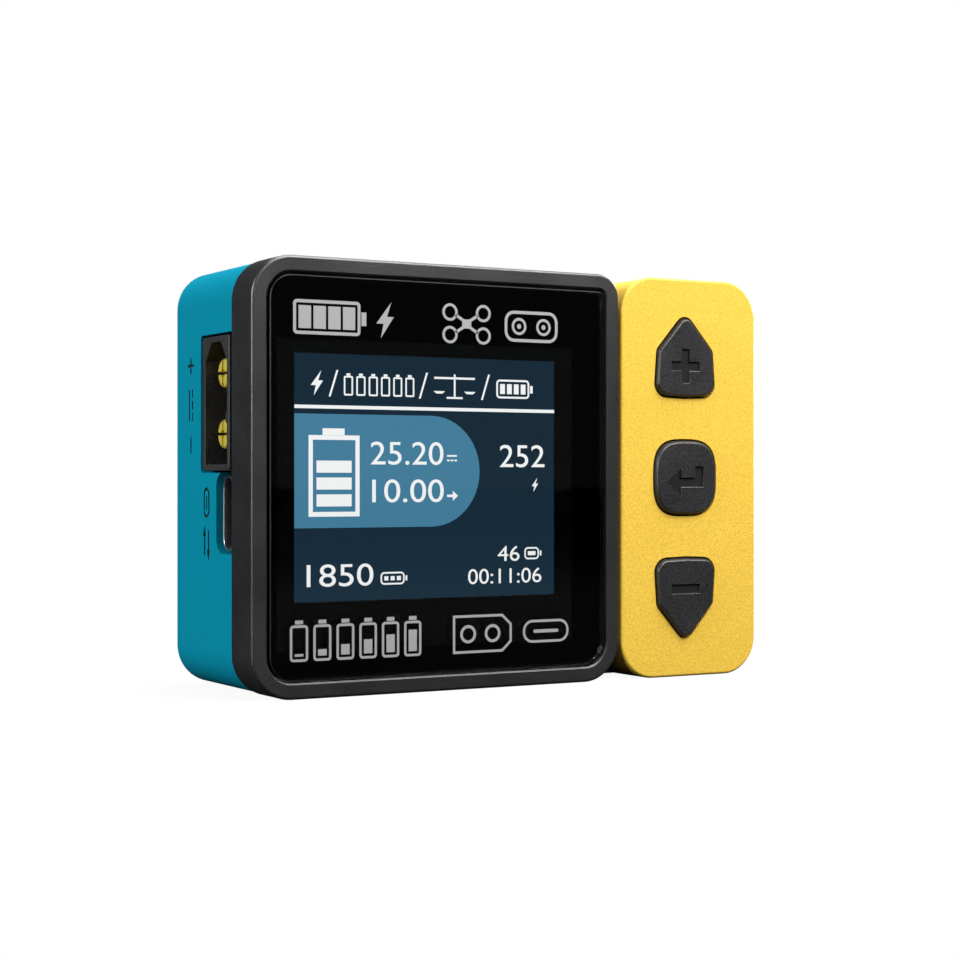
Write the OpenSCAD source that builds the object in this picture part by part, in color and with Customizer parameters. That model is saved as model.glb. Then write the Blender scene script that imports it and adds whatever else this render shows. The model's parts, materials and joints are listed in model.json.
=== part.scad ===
// Compact balance battery charger: a display bezel with a glass front, a left
// housing with the power inputs and the fan, and a right end cap that carries
// the buttons and the outputs.
// Millimetres. +X is to the right, +Y to the back, +Z up. The origin is the
// centre of the footprint, on the surface that the charger stands on.

/* [Case] */
// Height of the case
case_h = 51; // [50.5:0.5:53]
// Width of the display bezel
bezel_w = 50; // [49.5:0.5:52]
// Width of the right end cap with the buttons
cap_w = 21.15; // [21:0.05:22]
// Depth from the front face to the back face
case_d = 24; // [24:0.25:26]
// Radius of the case's corners, seen from the front
corner_r = 5; // [4.6:0.1:5.6]
// Radius of the soft front edge
edge_r = 0.35; // [0.3:0.05:0.6]
// Wall of the left housing and of the end cap
wall = 1.6; // [1.4:0.1:1.8]
// Depth of the display bezel
bezel_d = 6; // [5.9:0.05:6.2]
// Width of the bezel's rim round the glass
rim_w = 1.9; // [1.7:0.05:2.1]
// Bevel on the rim's inner edge
inner_bevel = 0.2; // [0.1:0.05:0.3]
// Radius of the glass opening's upper right corner
tight_r = 1.1; // [0.9:0.1:1.5]
// How far the left housing stands back from the bezel's side
side_inset = 0.1; // [0.1:0.05:0.4]
// How far the left housing stands back at the top and the bottom
top_inset = 0.15; // [0.1:0.05:0.3]

/* [Display] */
// Thickness of the cover glass
glass_t = 1.1; // [0.9:0.05:1.1]
// Gap all round the cover glass
glass_gap = 0.33; // [0.2:0.01:0.4]
// Width of the LCD module
lcd_w = 39; // [37:0.5:39]
// Height of the LCD module
lcd_h = 35; // [33:0.5:35]

/* [Buttons] */
// Distance between button centres
button_pitch = 15.43; // [15:0.05:16]
// Gap between a button and its pocket
button_gap = 0.2; // [0.15:0.01:0.25]
// How far the buttons stand proud of the end cap
button_proud = 0.5; // [0.4:0.05:0.7]

/* [Connectors] */
// Depth at which the power connectors' centre lines lie behind the front face
connector_depth = 11.15; // [11.1:0.05:11.3]
// Diameter of a power contact
contact_d = 3.5; // [3.5:0.1:3.5]
// Distance between the two power contacts
contact_pitch = 7.2; // [7.2:0.1:7.2]
// Number of pins in the balance socket
balance_pins_n = 7; // [7:1:7]

/* [Cooling] */
// Side of the square fan
fan_side = 30; // [29:0.5:30]
// Thickness of the fan
fan_t = 7; // [6.6:0.1:7]
// Number of fan blades
blade_n = 7; // [5:1:9]
// Number of heat sink fins
fin_n = 8; // [5:1:10]

/* [Hidden] */
$fn = 48;
eps = 0.01;
hull_fn = 32;

// Places along X
seam_gap = 0.35;
total_w = bezel_w + seam_gap + cap_w;
x_left = -total_w / 2;
x_right = total_w / 2;
bezel_x = x_left + bezel_w / 2;
cap_x = x_right - cap_w / 2;
cap_left = x_right - cap_w;
housing_left = x_left + side_inset;
housing_right = cap_left + 4.6;
button_x = cap_x - 0.75;

// Depths behind the front face, and the front face's own place
depth_mid = (case_d - button_proud) / 2;
glue_t = 0.2;
ledge_t = 1;
cap_front_d = 7;
pcb_t = 1.6;
pcb_back = 7.05;
pcb_front = pcb_back - pcb_t;
board_h = case_h - 5;
neck_h = 40.8;
back_wall = 1.7;
bay_back = case_d - back_wall;

// Heights are measured from the middle of the case
half_h = case_h / 2;

// Case fixings: long screws on the left, short ones into standoffs on the right
post_z = half_h - 4.3;
post_xs = [x_left + 4.55, x_left + bezel_w - 4.55];
post_r = 2.2;
screw_r = 1;
screw_hole_r = 1.15;
screw_head_r = 1.9;
screw_head_h = 1.1;
standoff_x = cap_x - 1.6;

// Display stack, from the glass backwards
lcd_x = x_left + 23.35;
lcd_z = -2;
lcd_front = glass_t + glue_t;
lcd_cell_t = 1.4;
backlight_t = 1.4;
back_plate_t = 0.25;
flex_t = 0.12;
flex_w = 12;
flex_r = 1.1;

// Power connectors, 60 A two-contact type
conn_w = 8.1;
conn_h = 15.9;
conn_wall = 0.75;
conn_mouth = 8.2;
conn_len = 16.2;
input_z = 8.75;
output_z = -10.75;
block_w = 6.3;
block_h = 14.1;
well_gap = 0.5;
well_wall = 0.8;
well_floor = 0.8;
leg_reach = 1.3;
leg_r = 1;
root_r = 1.5;
pin_recess = 1;
socket_r = 2.25;

// USB port
usb_w = 8.94;
usb_t = 3.26;
usb_len = 7.1;
usb_recess = 0.7;
usb_z = -4.2;
usb_depth = pcb_back + 0.1 + usb_t / 2;

// Balance socket
balance_pitch = 2.5;
balance_h = balance_pitch * (balance_pins_n - 1) + 4.9;
balance_t = 5.75;
balance_len = 11.4;
balance_z = 8.75;
balance_pin = 0.64;

// Fan and heat sink
fan_x = x_left + 28.75;
fan_depth = bay_back - fan_t;
fan_hole_pitch = fan_side - 6;
rotor_r = fan_side / 2 - 1.6;
hub_r = 6.8;
sink_w = 22;
sink_h = 28;
sink_x = x_left + 30.95;
mosfet_t = 1.1;
pad_t = 0.5;
sink_front = pcb_back + mosfet_t + pad_t;
sink_d = fan_depth - 0.4 - sink_front;

// Switches behind the buttons
flange_t = 0.6;
flange_front = wall + 0.05;
switch_side = 3.5;
switch_front = 3.05;
plunger_r = 0.9;

// ---- Helpers -------------------------------------------------------------

// Moves to a place given as X, depth behind the front face, and height from
// the middle of the case.
module at(x, depth, z) {
    translate([x, depth - depth_mid, half_h + z]) children();
}

// Extrudes an outline drawn in X and Z towards the back.
module back_extrude(t) {
    translate([0, t, 0]) rotate([90, 0, 0]) linear_extrude(t) children();
}

// Extrudes an outline drawn in depth and height towards +X.
module right_extrude(t) {
    rotate([90, 0, 90]) linear_extrude(t) children();
}

// A round bar along +Y.
module back_bar(r, t) {
    rotate([-90, 0, 0]) cylinder(r = r, h = t);
}

// A round bar along +X.
module right_bar(r, t) {
    rotate([0, 90, 0]) cylinder(r = r, h = t);
}

module rounded_rect(w, h, r) {
    square([w - 2 * r, h], center = true);
    square([w, h - 2 * r], center = true);
    for (sx = [-1, 1], sz = [-1, 1])
        translate([sx * (w / 2 - r), sz * (h / 2 - r)]) circle(r);
}

// A box centred in X and Z that runs back from its own front face.
module slab(w, t, h) {
    translate([-w / 2, 0, -h / 2]) cube([w, t, h]);
}

// Half section of a soft-edged plate: radius along X, depth along Y.
module soft_profile(r, t, front, back) {
    translate([0, front]) square([r, t - front - back]);
    square([r - front, front + eps]);
    translate([0, t - back - eps]) square([r - back, back + eps]);
    intersection() {
        square([r, t]);
        union() {
            translate([r - front, front]) circle(front);
            translate([r - back, t - back]) circle(back);
        }
    }
}

// A rounded plate with soft front and back edges, centred in X and Z, from
// depth 0 to t. Its upper right corner has the radius tight, the others r.
module soft_plate(w, h, t, r, tight, front, back) {
    back_extrude(t) {
        square([w - 2 * r, h - 2 * tight], center = true);
        square([w - 2 * tight, h - 2 * r], center = true);
        square([w / 2 - tight, h / 2 - tight]);
    }
    for (sx = [-1, 1], sz = [-1, 1]) {
        here = sx + sz == 2 ? tight : r;
        translate([sx * (w / 2 - here), 0, sz * (h / 2 - here)])
            rotate([-90, 0, 0]) rotate_extrude() soft_profile(here, t, front, back);
    }
    for (s = [0, 180]) rotate([0, s, 0]) {
        end = s == 0 ? tight : r;
        translate([w / 2 - tight, 0, -(h / 2 - r)])
            linear_extrude(h - r - end) soft_profile(tight, t, front, back);
        translate([-(w / 2 - r), 0, h / 2 - tight]) rotate([0, 90, 0]) mirror([1, 0, 0])
            linear_extrude(w - r - end) soft_profile(tight, t, front, back);
    }
}

// A countersunk screw: the head's face at depth 0, the shank running forward.
module flat_screw(shank) {
    difference() {
        union() {
            translate([0, -screw_head_h, 0]) rotate([-90, 0, 0])
                cylinder(r1 = screw_r, r2 = screw_head_r, h = screw_head_h);
            translate([0, -shank, 0]) back_bar(screw_r, shank - screw_head_h + eps);
        }
        for (a = [0, 90]) rotate([0, a, 0]) translate([0, -0.6, 0]) slab(2, 1, 0.4);
    }
}

// The hole that a countersunk screw sits in, its mouth at depth 0.
module screw_hole(len) {
    translate([0, -len, 0]) back_bar(screw_hole_r, len + eps);
    translate([0, -screw_head_h - 0.1, 0]) rotate([-90, 0, 0])
        cylinder(r1 = screw_hole_r, r2 = screw_head_r + 0.2, h = screw_head_h + 0.1 + eps);
}

module at_posts() {
    for (x = post_xs, s = [-1, 1]) at(x, 0, s * post_z) children();
}

module at_fan_screws() {
    for (sx = [-1, 1], sz = [-1, 1])
        at(fan_x + sx * fan_hole_pitch / 2, case_d, sz * fan_hole_pitch / 2) children();
}

module at_standoffs() {
    for (s = [-1, 1]) at(standoff_x, 0, s * post_z) children();
}

// ---- Case ----------------------------------------------------------------

// Corners of the glass opening as [side, side, radius]: the upper right one is tight.
glass_corners = [
    for (sx = [-1, 1], sz = [-1, 1])
        [sx, sz, sx + sz == 2 ? tight_r : corner_r - rim_w]
];

// Centre of one corner arc of the glass opening.
function corner_spot(c) =
    [c[0] * (bezel_w / 2 - rim_w - c[2]), c[1] * (half_h - rim_w - c[2])];

module glass_outline(shrink) {
    w = bezel_w - 2 * rim_w;
    h = case_h - 2 * rim_w;
    big = corner_r - rim_w;
    square([w - 2 * big, h - 2 * shrink], center = true);
    square([w - 2 * shrink, h - 2 * big], center = true);
    translate([w / 2 - big - eps, 0])
        square([big - tight_r + eps, h / 2 - shrink]);
    translate([0, h / 2 - big - eps])
        square([w / 2 - shrink, big - tight_r + eps]);
    for (c = glass_corners) translate(corner_spot(c)) circle(c[2] - shrink);
}

// Ring that bevels the inner edge of the glass opening.
module opening_bevel() {
    b = inner_bevel;
    w = bezel_w - 2 * rim_w;
    h = case_h - 2 * rim_w;
    for (c = glass_corners) translate([corner_spot(c)[0], -eps, corner_spot(c)[1]])
        rotate([-90, 0, 0]) cylinder(r1 = c[2] + b, r2 = c[2], h = b);
    for (a = [0, 180]) rotate([0, a, 0]) {
        big = corner_r - rim_w;
        end = a == 0 ? tight_r : big;
        translate([-w / 2 + big, 0, h / 2]) right_extrude(w - big - end)
            polygon([[-eps, -b], [-eps, b], [b - eps, 0], [b - eps, -b]]);
        translate([w / 2, -eps, -h / 2 + big]) linear_extrude(h - big - end)
            polygon([[-b, 0], [b, 0], [0, b], [-b, b]]);
    }
}

module front_bezel() {
    bay_front = lcd_front + ledge_t;
    bay_w = bezel_w - 2 * rim_w;
    bay_h = case_h - 2 * rim_w;
    color([0.22, 0.22, 0.23]) difference() {
        union() {
            difference() {
                at(bezel_x, 0, 0) soft_plate(bezel_w, case_h, bezel_d, corner_r,
                                             tight_r + rim_w, edge_r, 0.2);
                at(bezel_x, -eps, 0) back_extrude(lcd_front + eps) glass_outline(0);
                at(bezel_x, 0, 0) opening_bevel();
                at(bezel_x, bay_front, 0) back_extrude(bezel_d)
                    rounded_rect(bay_w, bay_h, corner_r - rim_w);
            }
            at_posts() translate([0, bay_front - eps, 0])
                back_bar(post_r, pcb_front - 0.05 - bay_front + eps);
        }
        at(lcd_x, 0, lcd_z) slab(lcd_w + 0.6, bezel_d, lcd_h + 0.6);
        at_posts() translate([0, bay_front + 0.2, 0]) back_bar(screw_r + 0.02, bezel_d);
        // Way through the right wall for the circuit board
        at(x_left + bezel_w, pcb_front - 0.2, 0) slab(2 * corner_r, bezel_d, neck_h + 0.4);
    }
}

// Ring slots of the finger guard in front of the fan.
module guard_slots(t) {
    slot = 1.5;
    rib = 1.1;
    difference() {
        for (i = [0:3]) {
            r = 4.2 + i * (slot + rib);
            difference() {
                back_bar(r + slot, t);
                translate([0, -eps, 0]) back_bar(r, t + 2 * eps);
            }
        }
        for (a = [45, 135]) rotate([0, a, 0])
            translate([0, -eps, 0]) slab(fan_side * 2, t + 2 * eps, 1.6);
    }
}

module vent_slots() {
    slot_w = 1.4;
    for (i = [-4:4]) at(fan_x + i * 2.8, 11.5, 0)
        slab(slot_w, 6.5, case_h + 2);
}

// Polarity and direct current signs, drawn in depth and height.
module input_marks() {
    line = 0.34;
    mark_d = connector_depth + 7.6;
    plus_z = input_z + contact_pitch / 2 + 1.2;
    minus_z = input_z - contact_pitch / 2 - 1.2;
    // Plus and minus beside their contacts
    translate([mark_d, plus_z]) {
        square([2, line], center = true);
        square([line, 2], center = true);
    }
    translate([mark_d, minus_z]) square([line, 2], center = true);
    // Direct current: one long line beside three short ones
    translate([mark_d + 0.5, input_z]) square([line, 3.8], center = true);
    for (i = [-1:1]) translate([mark_d - 0.5, input_z + i * 1.4])
        square([line, 1], center = true);
}

// Port and two-way power signs, drawn in depth and height.
module port_marks() {
    line = 0.34;
    mark_d = connector_depth + 2.6;
    // Outline of a small port
    translate([mark_d, usb_z + 1.2]) difference() {
        rounded_rect(1.8, 3.6, 0.88);
        rounded_rect(1.8 - 2 * line, 3.6 - 2 * line, 0.88 - line);
    }
    translate([mark_d, usb_z + 1.2]) square([line, 1.6], center = true);
    // Power in and out: one arrow up and one down
    for (s = [-1, 1]) translate([mark_d + s * 0.62, usb_z - 3.6]) scale([1, s]) {
        square([line, 3], center = true);
        polygon([[-0.5, 0.8], [0.5, 0.8], [0, 2.1]]);
    }
}

module left_housing() {
    h = case_h - 2 * top_inset;
    w = housing_right - housing_left;
    r = corner_r - 0.2;
    soft_w = w + 2 * r;
    cut_d = connector_depth + conn_w / 2 + 0.35;
    color([0.04, 0.5, 0.6]) difference() {
        union() {
            difference() {
                // The plate is cut straight at the seam with the end cap
                intersection() {
                    at(housing_left + soft_w / 2, bezel_d, 0)
                        soft_plate(soft_w, h, case_d - bezel_d, r, r, 0.1, 0.9);
                    at(housing_left + w / 2, 0, 0) slab(w, case_d, case_h);
                }
                at(housing_left + wall + soft_w / 2, 0, 0) back_extrude(bay_back)
                    rounded_rect(soft_w, h - 2 * wall, r - wall);
                // The end cap's front plate passes over this part
                at(cap_left + w / 2 - 0.15, 0, 0) slab(w, cap_front_d + 0.1, case_h);
            }
            at_posts() translate([0, pcb_back + 0.05, 0])
                back_bar(post_r, bay_back - pcb_back);
        }
        at_posts() translate([0, case_d, 0]) screw_hole(case_d);
        at_fan_screws() screw_hole(back_wall + 1);
        at(fan_x, bay_back - 1, 0) guard_slots(back_wall + 2);
        vent_slots();
        // Mouth for the input connector, open to the front
        at(housing_left - 1, 0, input_z) right_extrude(wall + 2)
            translate([cut_d / 2, 0]) rounded_rect(cut_d, conn_h + 0.5, 0.6);
        // Mouth for the USB port, joined to the one above
        at(housing_left - 1, 0, usb_z) right_extrude(wall + 2)
            translate([usb_depth / 2, 0])
                rounded_rect(usb_depth + usb_t + 0.6, usb_w + 0.6, 1.7);
        at(housing_left - 1, 0, input_z) right_extrude(wall + 2)
            translate([0, -conn_h / 2 - 1.6]) square([usb_depth + 0.6, 3]);
        at(housing_left - 1, 0, 0) right_extrude(1.2) {
            input_marks();
            port_marks();
        }
    }
}

// Rounded five-sided outline of the up button, centred on its own middle.
module arrow_outline(grow) {
    apex_r = 1.55;
    apex_z = 3.68;
    shoulder_r = 1.2;
    shoulder = [3.3, 0.47];
    foot_r = 1.9;
    foot = [2.88, -3.33];
    // The lower edge bulges a little at its middle
    bulge = 0.12;
    hull() {
        translate([0, apex_z]) circle(apex_r + grow, $fn = hull_fn);
        for (s = [-1, 1]) {
            translate([s * shoulder.x, shoulder.y]) circle(shoulder_r + grow, $fn = hull_fn);
            translate([s * foot.x, foot.y]) circle(foot_r + grow, $fn = hull_fn);
        }
        translate([0, foot.y - bulge]) circle(foot_r + grow, $fn = hull_fn);
    }
}

// Rounded square with bulging sides, from the superellipse formula.
module squircle_outline(grow) {
    half = 4.97 + grow;
    power = 2 / 3.1;
    polygon([for (i = [0:47]) let (a = i * 360 / 48)
        [half * sign(cos(a)) * pow(abs(cos(a)), power),
         half * sign(sin(a)) * pow(abs(sin(a)), power)]]);
}

// Outline of the button in row 1 (up), 0 (enter) or -1 (down).
module button_outline(row, grow) {
    if (row == 0) squircle_outline(grow);
    else scale([1, row]) arrow_outline(grow);
}

module at_button(row) {
    at(button_x, 0, row * button_pitch) children();
}

module right_housing() {
    r = corner_r - 0.15;
    cap_split = housing_right + 0.1;
    inner_w = cap_w - 2 * wall;
    well_w = conn_w + 2 * well_gap;
    well_h = conn_h + 2 * well_gap;
    color([0.98, 0.78, 0.26]) difference() {
        union() {
            difference() {
                at(cap_x, 0, 0) soft_plate(cap_w, case_h, case_d, r, r, edge_r, 0.9);
                at(cap_x, wall, 0) back_extrude(bay_back - wall)
                    rounded_rect(inner_w, case_h - 2 * wall, r - wall);
                // Open towards the left housing behind the front plate
                at(cap_split - cap_w / 2, cap_front_d, 0) slab(cap_w, case_d, case_h + 1);
            }
            // Well round the output connector, with a floor behind the plug
            at(x_right - conn_mouth - well_floor, connector_depth, output_z)
                right_extrude(conn_mouth + well_floor - 0.5)
                rounded_rect(well_w + 2 * well_wall, well_h + 2 * well_wall, 1.2);
        }
        at(x_right - conn_mouth, connector_depth, output_z) {
            right_extrude(conn_mouth + 1) rounded_rect(well_w, well_h, 0.6);
            translate([-2, 0, 0]) right_extrude(3)
                keyed_outline(block_w + 0.3, block_h + 0.3, 1.8, 2.1);
        }
        at(x_right - wall - 1, pcb_back + 0.1 + balance_t / 2, balance_z)
            right_extrude(wall + 2) rounded_rect(balance_t + 0.4, balance_h + 0.4, 0.5);
        for (row = [-1:1]) at_button(row) translate([0, -1, 0])
            back_extrude(wall + 2) button_outline(row, 0);
        at_standoffs() translate([0, case_d, 0]) screw_hole(back_wall + 1);
        // Way through the left wall for the circuit board
        at(cap_left, pcb_front - 0.2, 0) slab(2 * corner_r, cap_front_d, neck_h + 0.4);
    }
}

// ---- Display -------------------------------------------------------------

module display_glass() {
    color([0.03, 0.04, 0.05, 0.9]) at(bezel_x, 0, 0)
        back_extrude(glass_t) glass_outline(glass_gap);
}

module glass_adhesive() {
    color([0.1, 0.1, 0.1]) difference() {
        at(bezel_x, glass_t, 0) back_extrude(glue_t) glass_outline(glass_gap + 0.3);
        at(lcd_x, 0, lcd_z) slab(lcd_w + 1, bezel_d, lcd_h + 1);
    }
}

module lcd_panel() {
    color([0.12, 0.22, 0.3]) at(lcd_x, lcd_front, lcd_z) slab(lcd_w, lcd_cell_t, lcd_h);
}

module lcd_backlight() {
    pocket = 0.6;
    color([0.93, 0.93, 0.9]) at(lcd_x, lcd_front + lcd_cell_t, lcd_z) difference() {
        slab(lcd_w, backlight_t, lcd_h);
        // Lamp pocket along the lower edge
        translate([0, backlight_t - pocket, 2 - lcd_h / 2]) slab(lcd_w - 6, pocket + eps, 1.4);
    }
}

module lcd_back_plate() {
    color([0.75, 0.75, 0.76]) difference() {
        at(lcd_x, lcd_front + lcd_cell_t + backlight_t, lcd_z)
            slab(lcd_w, back_plate_t, lcd_h);
        for (s = [-1, 1]) at(lcd_x + s * 14, 0, lcd_z + 12) back_bar(1, bezel_d);
    }
}

module lcd_flex() {
    edge_z = lcd_z - lcd_h / 2;
    loop_depth = lcd_front + lcd_cell_t - 0.35 + flex_r;
    tail = 6;
    color([0.85, 0.5, 0.12]) {
        at(lcd_x, loop_depth, edge_z) difference() {
            translate([-flex_w / 2, 0, 0]) right_bar(flex_r + flex_t / 2, flex_w);
            translate([-flex_w, 0, 0]) right_bar(flex_r - flex_t / 2, 2 * flex_w);
            translate([0, -2 * flex_r, flex_r * 2]) slab(2 * flex_w, 4 * flex_r, 4 * flex_r);
        }
        at(lcd_x, loop_depth + flex_r - flex_t / 2, edge_z + tail / 2)
            slab(flex_w, flex_t, tail);
    }
}

module lcd_connector() {
    body_t = 0.9;
    slot_depth = lcd_front + lcd_cell_t - 0.35 + 2 * flex_r;
    color([0.9, 0.88, 0.8]) difference() {
        at(lcd_x, pcb_front - body_t, lcd_z - lcd_h / 2 + 6) slab(flex_w + 2, body_t, 3);
        at(lcd_x, slot_depth - 0.1, lcd_z - lcd_h / 2 + 4.5) slab(flex_w + 0.2, 0.2, 3.2);
    }
}

// ---- Circuit board and what it carries ------------------------------------

// Places a part on the back of the circuit board.
module on_board(x, z) {
    at(x, pcb_back, z) children();
}

// Places of the four legs that join the power contacts to the board.
module at_legs() {
    for (s = [-1, 1]) {
        at(housing_left + conn_len + leg_reach, 0, input_z + s * contact_pitch / 2) children();
        at(x_right - conn_len - leg_reach, 0, output_z + s * contact_pitch / 2) children();
    }
}

// Full height part of the board's outline, between two places along X.
module board_part(from, to) {
    translate([(from + to) / 2, 0]) rounded_rect(to - from, board_h, corner_r - rim_w);
}

// The board narrows to a neck where it passes from the bezel into the end cap.
module main_pcb() {
    board_left = x_left + rim_w + 0.4;
    bezel_end = x_left + bezel_w - rim_w - 0.15;
    cap_start = cap_left + wall + 0.2;
    board_right = x_right - conn_mouth - well_floor - 0.3;
    color([0.05, 0.22, 0.12]) difference() {
        at(0, pcb_front, 0) back_extrude(pcb_t) {
            board_part(board_left, bezel_end);
            board_part(cap_start, board_right);
            translate([bezel_end - corner_r, -neck_h / 2])
                square([cap_start - bezel_end + 2 * corner_r, neck_h]);
        }
        at_posts() back_bar(screw_hole_r, bezel_d + 4);
        at_standoffs() back_bar(screw_hole_r, bezel_d + 4);
        at_legs() back_bar(leg_r + 0.05, bezel_d + 4);
    }
}

// Socket cavity of the input connector: depth and height outline, with its
// two upper corners cut to key the plug.
module keyed_outline(w, h, cut_w, cut_h) {
    polygon([[-w / 2, -h / 2], [w / 2, -h / 2], [w / 2, h / 2 - cut_h],
             [w / 2 - cut_w, h / 2], [-w / 2 + cut_w, h / 2], [-w / 2, h / 2 - cut_h]]);
}

module input_connector_housing() {
    face_x = housing_left + 0.1;
    inner_w = conn_w - 2 * conn_wall;
    inner_h = conn_h - 2 * conn_wall;
    color([0.1, 0.1, 0.11]) difference() {
        at(face_x, connector_depth, input_z) difference() {
            right_extrude(conn_len) rounded_rect(conn_w, conn_h, 0.45);
            difference() {
                translate([-eps, 0, 0]) right_extrude(conn_mouth)
                    keyed_outline(inner_w, inner_h, 1.9, 2.2);
                // Key rib on the front wall, between the contacts
                translate([0.2, -inner_w / 2 - eps, -2.35]) cube([conn_mouth, 0.9, 1.3]);
            }
        }
        for (s = [-1, 1]) at(face_x, connector_depth, input_z + s * contact_pitch / 2)
            right_bar(root_r + 0.01, conn_len + 1);
    }
}

// One round contact along +X, of length len, with a domed, split tip. Beyond
// its free length it is thinner, to sit in the housing. Its leg stands at
// leg_x and reaches leg_depth forward to the board.
module split_pin(len, free, leg_x, leg_depth) {
    r = contact_d / 2;
    dome = 0.4;
    slit = 0.34;
    slit_len = 3.2;
    tip_bore_r = 0.5;
    steps = 3;
    difference() {
        union() {
            for (i = [0:steps - 1]) {
                a = i * 90 / steps;
                b = (i + 1) * 90 / steps;
                translate([dome * (1 - cos(a)), 0, 0]) rotate([0, 90, 0])
                    cylinder(r1 = r - dome + dome * sin(a), r2 = r - dome + dome * sin(b),
                             h = dome * (cos(a) - cos(b)));
            }
            translate([dome, 0, 0]) right_bar(r, free - dome);
            translate([free - eps, 0, 0]) right_bar(root_r, len - free + eps);
        }
        translate([-eps, 0, 0]) right_bar(tip_bore_r, slit_len);
        for (a = [0, 90]) rotate([a, 0, 0])
            translate([-eps, -r - 1, -slit / 2]) cube([slit_len, 2 * r + 2, slit]);
    }
    translate([len - eps, 0, 0]) right_bar(leg_r, leg_x - len);
    translate([leg_x, -leg_depth, 0]) back_bar(leg_r, leg_depth + leg_r);
}

module input_connector_pins() {
    color([0.85, 0.7, 0.2]) for (s = [-1, 1])
        at(housing_left + pin_recess, connector_depth, input_z + s * contact_pitch / 2)
            split_pin(conn_len - pin_recess, conn_mouth - pin_recess - 0.2,
                      conn_len + leg_reach - pin_recess, connector_depth - pcb_front);
}

module output_connector_housing() {
    base_len = conn_len - conn_mouth - well_floor - 0.05;
    color([0.1, 0.1, 0.11]) difference() {
        at(x_right - conn_len, connector_depth, output_z) {
            right_extrude(base_len) rounded_rect(conn_w, conn_h, 0.45);
            right_extrude(conn_len - 0.2) keyed_outline(block_w, block_h, 1.8, 2.1);
        }
        for (s = [-1, 1]) at(x_right - conn_len - 1, connector_depth,
                             output_z + s * contact_pitch / 2)
            right_bar(socket_r + 0.01, conn_len + 2);
    }
}

module output_connector_sockets() {
    sleeve_len = conn_len - 0.5;
    bore_depth = 9;
    color([0.85, 0.7, 0.2]) for (s = [-1, 1])
        at(x_right - conn_len, connector_depth, output_z + s * contact_pitch / 2) {
            difference() {
                right_bar(socket_r, sleeve_len);
                translate([sleeve_len - bore_depth, 0, 0]) right_bar(contact_d / 2, bore_depth + 1);
            }
            translate([-leg_reach, 0, 0]) right_bar(leg_r, leg_reach + eps);
            translate([-leg_reach, pcb_front - connector_depth, 0])
                back_bar(leg_r, connector_depth - pcb_front + leg_r);
        }
}

module stadium(w, h) {
    rounded_rect(w, h, w / 2 - 0.01);
}

module usb_port_shell() {
    sheet = 0.3;
    color([0.75, 0.75, 0.77]) at(housing_left + usb_recess, usb_depth, usb_z) {
        difference() {
            right_extrude(usb_len) stadium(usb_t, usb_w);
            translate([-eps, 0, 0]) right_extrude(usb_len - sheet)
                stadium(usb_t - 2 * sheet, usb_w - 2 * sheet);
        }
        // Solder tabs down to the board
        for (s = [-1, 1]) translate([2, -usb_t / 2 - 0.09, s * (usb_w / 2 - 0.7) - 0.6])
            cube([1.5, 0.9, 1.2]);
    }
}

module usb_port_tongue() {
    tongue_t = 0.7;
    base_len = 1.6;
    color([0.08, 0.08, 0.09]) at(housing_left + usb_recess, usb_depth, usb_z) {
        translate([0.8, -tongue_t / 2, -3.35]) cube([usb_len - 1.2, tongue_t, 6.7]);
        translate([usb_len - 0.32 - base_len, 0, 0]) right_extrude(base_len)
            stadium(usb_t - 0.62, usb_w - 0.62);
    }
}

module balance_socket() {
    inner_t = 4.25;
    mouth = 8.4;
    color([0.93, 0.92, 0.88]) at(x_right - 0.4 - balance_len, pcb_back + 0.1 + balance_t / 2,
                                balance_z) difference() {
        right_extrude(balance_len) rounded_rect(balance_t, balance_h, 0.2);
        translate([balance_len - mouth, 0, 0]) right_extrude(mouth + 1)
            square([inner_t, balance_h - 1.6], center = true);
        // Two guide slots in the back wall
        for (s = [-1, 1]) translate([balance_len - mouth, balance_t / 2 - 1.5, s * 5 - 0.75])
            cube([mouth + 1, 2, 1.5]);
        for (i = [0:balance_pins_n - 1])
            translate([balance_len / 2, 0, (i - (balance_pins_n - 1) / 2) * balance_pitch])
                cube([balance_len + 2, balance_pin + 0.02, balance_pin + 0.02], center = true);
    }
}

module balance_pins() {
    tip_x = x_right - 2.4;
    leg_x = x_right - 0.4 - balance_len - 0.9;
    pin_depth = pcb_back + 0.1 + balance_t / 2;
    foot = 1.8;
    color([0.8, 0.72, 0.4]) for (i = [0:balance_pins_n - 1])
        at(leg_x, pin_depth, balance_z + (i - (balance_pins_n - 1) / 2) * balance_pitch)
            translate([0, -balance_pin / 2, -balance_pin / 2]) {
                cube([tip_x - leg_x, balance_pin, balance_pin]);
                translate([0, pcb_back - pin_depth + balance_pin / 2, 0])
                    cube([balance_pin, pin_depth - pcb_back, balance_pin]);
                translate([-foot, pcb_back - pin_depth + balance_pin / 2, 0])
                    cube([foot + eps, 0.4, balance_pin]);
            }
}

module mosfets() {
    color([0.1, 0.1, 0.11]) for (sx = [-1, 1], i = [-1.5:1.5])
        on_board(sink_x + sx * 5.5, i * 7) slab(6, mosfet_t, 5);
}

module thermal_pad() {
    color([0.55, 0.6, 0.66]) on_board(sink_x, 0) translate([0, mosfet_t, 0])
        slab(sink_w - 2, pad_t, sink_h - 1);
}

module heat_sink() {
    base_t = 1.6;
    fin_t = 0.9;
    pitch = (sink_w - fin_t) / (fin_n - 1);
    color([0.72, 0.73, 0.75]) at(sink_x, sink_front, 0) {
        slab(sink_w, base_t, sink_h);
        for (i = [0:fin_n - 1]) translate([-sink_w / 2 + fin_t / 2 + i * pitch, base_t - eps, 0])
            slab(fin_t, sink_d - base_t + eps, sink_h);
    }
}

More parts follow.
